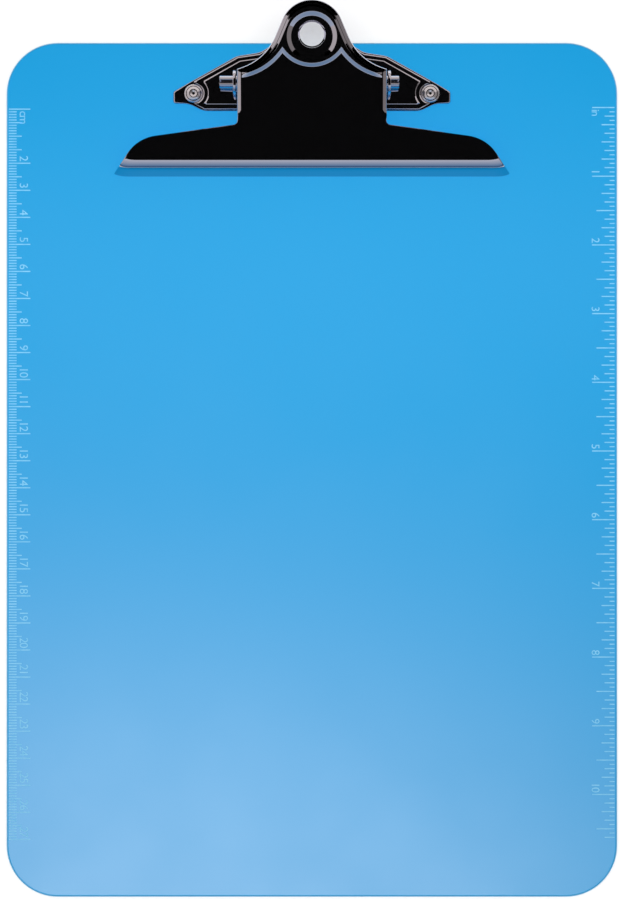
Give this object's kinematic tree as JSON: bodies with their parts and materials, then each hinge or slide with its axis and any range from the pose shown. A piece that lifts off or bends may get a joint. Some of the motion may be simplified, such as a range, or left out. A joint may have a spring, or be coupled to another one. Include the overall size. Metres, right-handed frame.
{
  "type": "clipboard",
  "caption": "Rounded plastic writing board with a sprung plated steel clip at its top edge: a hinged lever with a wide jaw and a holed handle.",
  "frame": {"origin": "middle of the whole object's footprint, on the plane of the board's back face", "axes": "+Z out of the board's front face, +Y along the board towards the clip, +X to the right as the board is read"},
  "size_m": [0.226, 0.3291, 0.0248],
  "materials": {
    "board_plastic": "translucent blue moulded sheet, satin gloss",
    "plated_steel": "bright nickel plated pressed sheet",
    "spring_wire": "drawn spring steel wire",
    "rivet_metal": "bright nickel plated, rolled over"
  },
  "bodies": {
    "board": {"board": "board_plastic", "clip_base": "plated_steel", "hinge_tube": "plated_steel", "torsion_spring": "spring_wire", "rivet_left": "rivet_metal", "rivet_right": "rivet_metal"},
    "lever": {"clip_lever": "plated_steel"}
  },
  "joints": [
    {"name": "lever_hinge", "type": "hinge", "parent": "board", "child": "lever", "pos_m": [0, 0.13569, 0.01155], "axis": [-1, 0, 0], "range_deg": [0, 26], "stiffness_Nm_per_rad": 0.8, "springref_deg": -39.53, "deforming": ["torsion_spring"]}
  ]
}
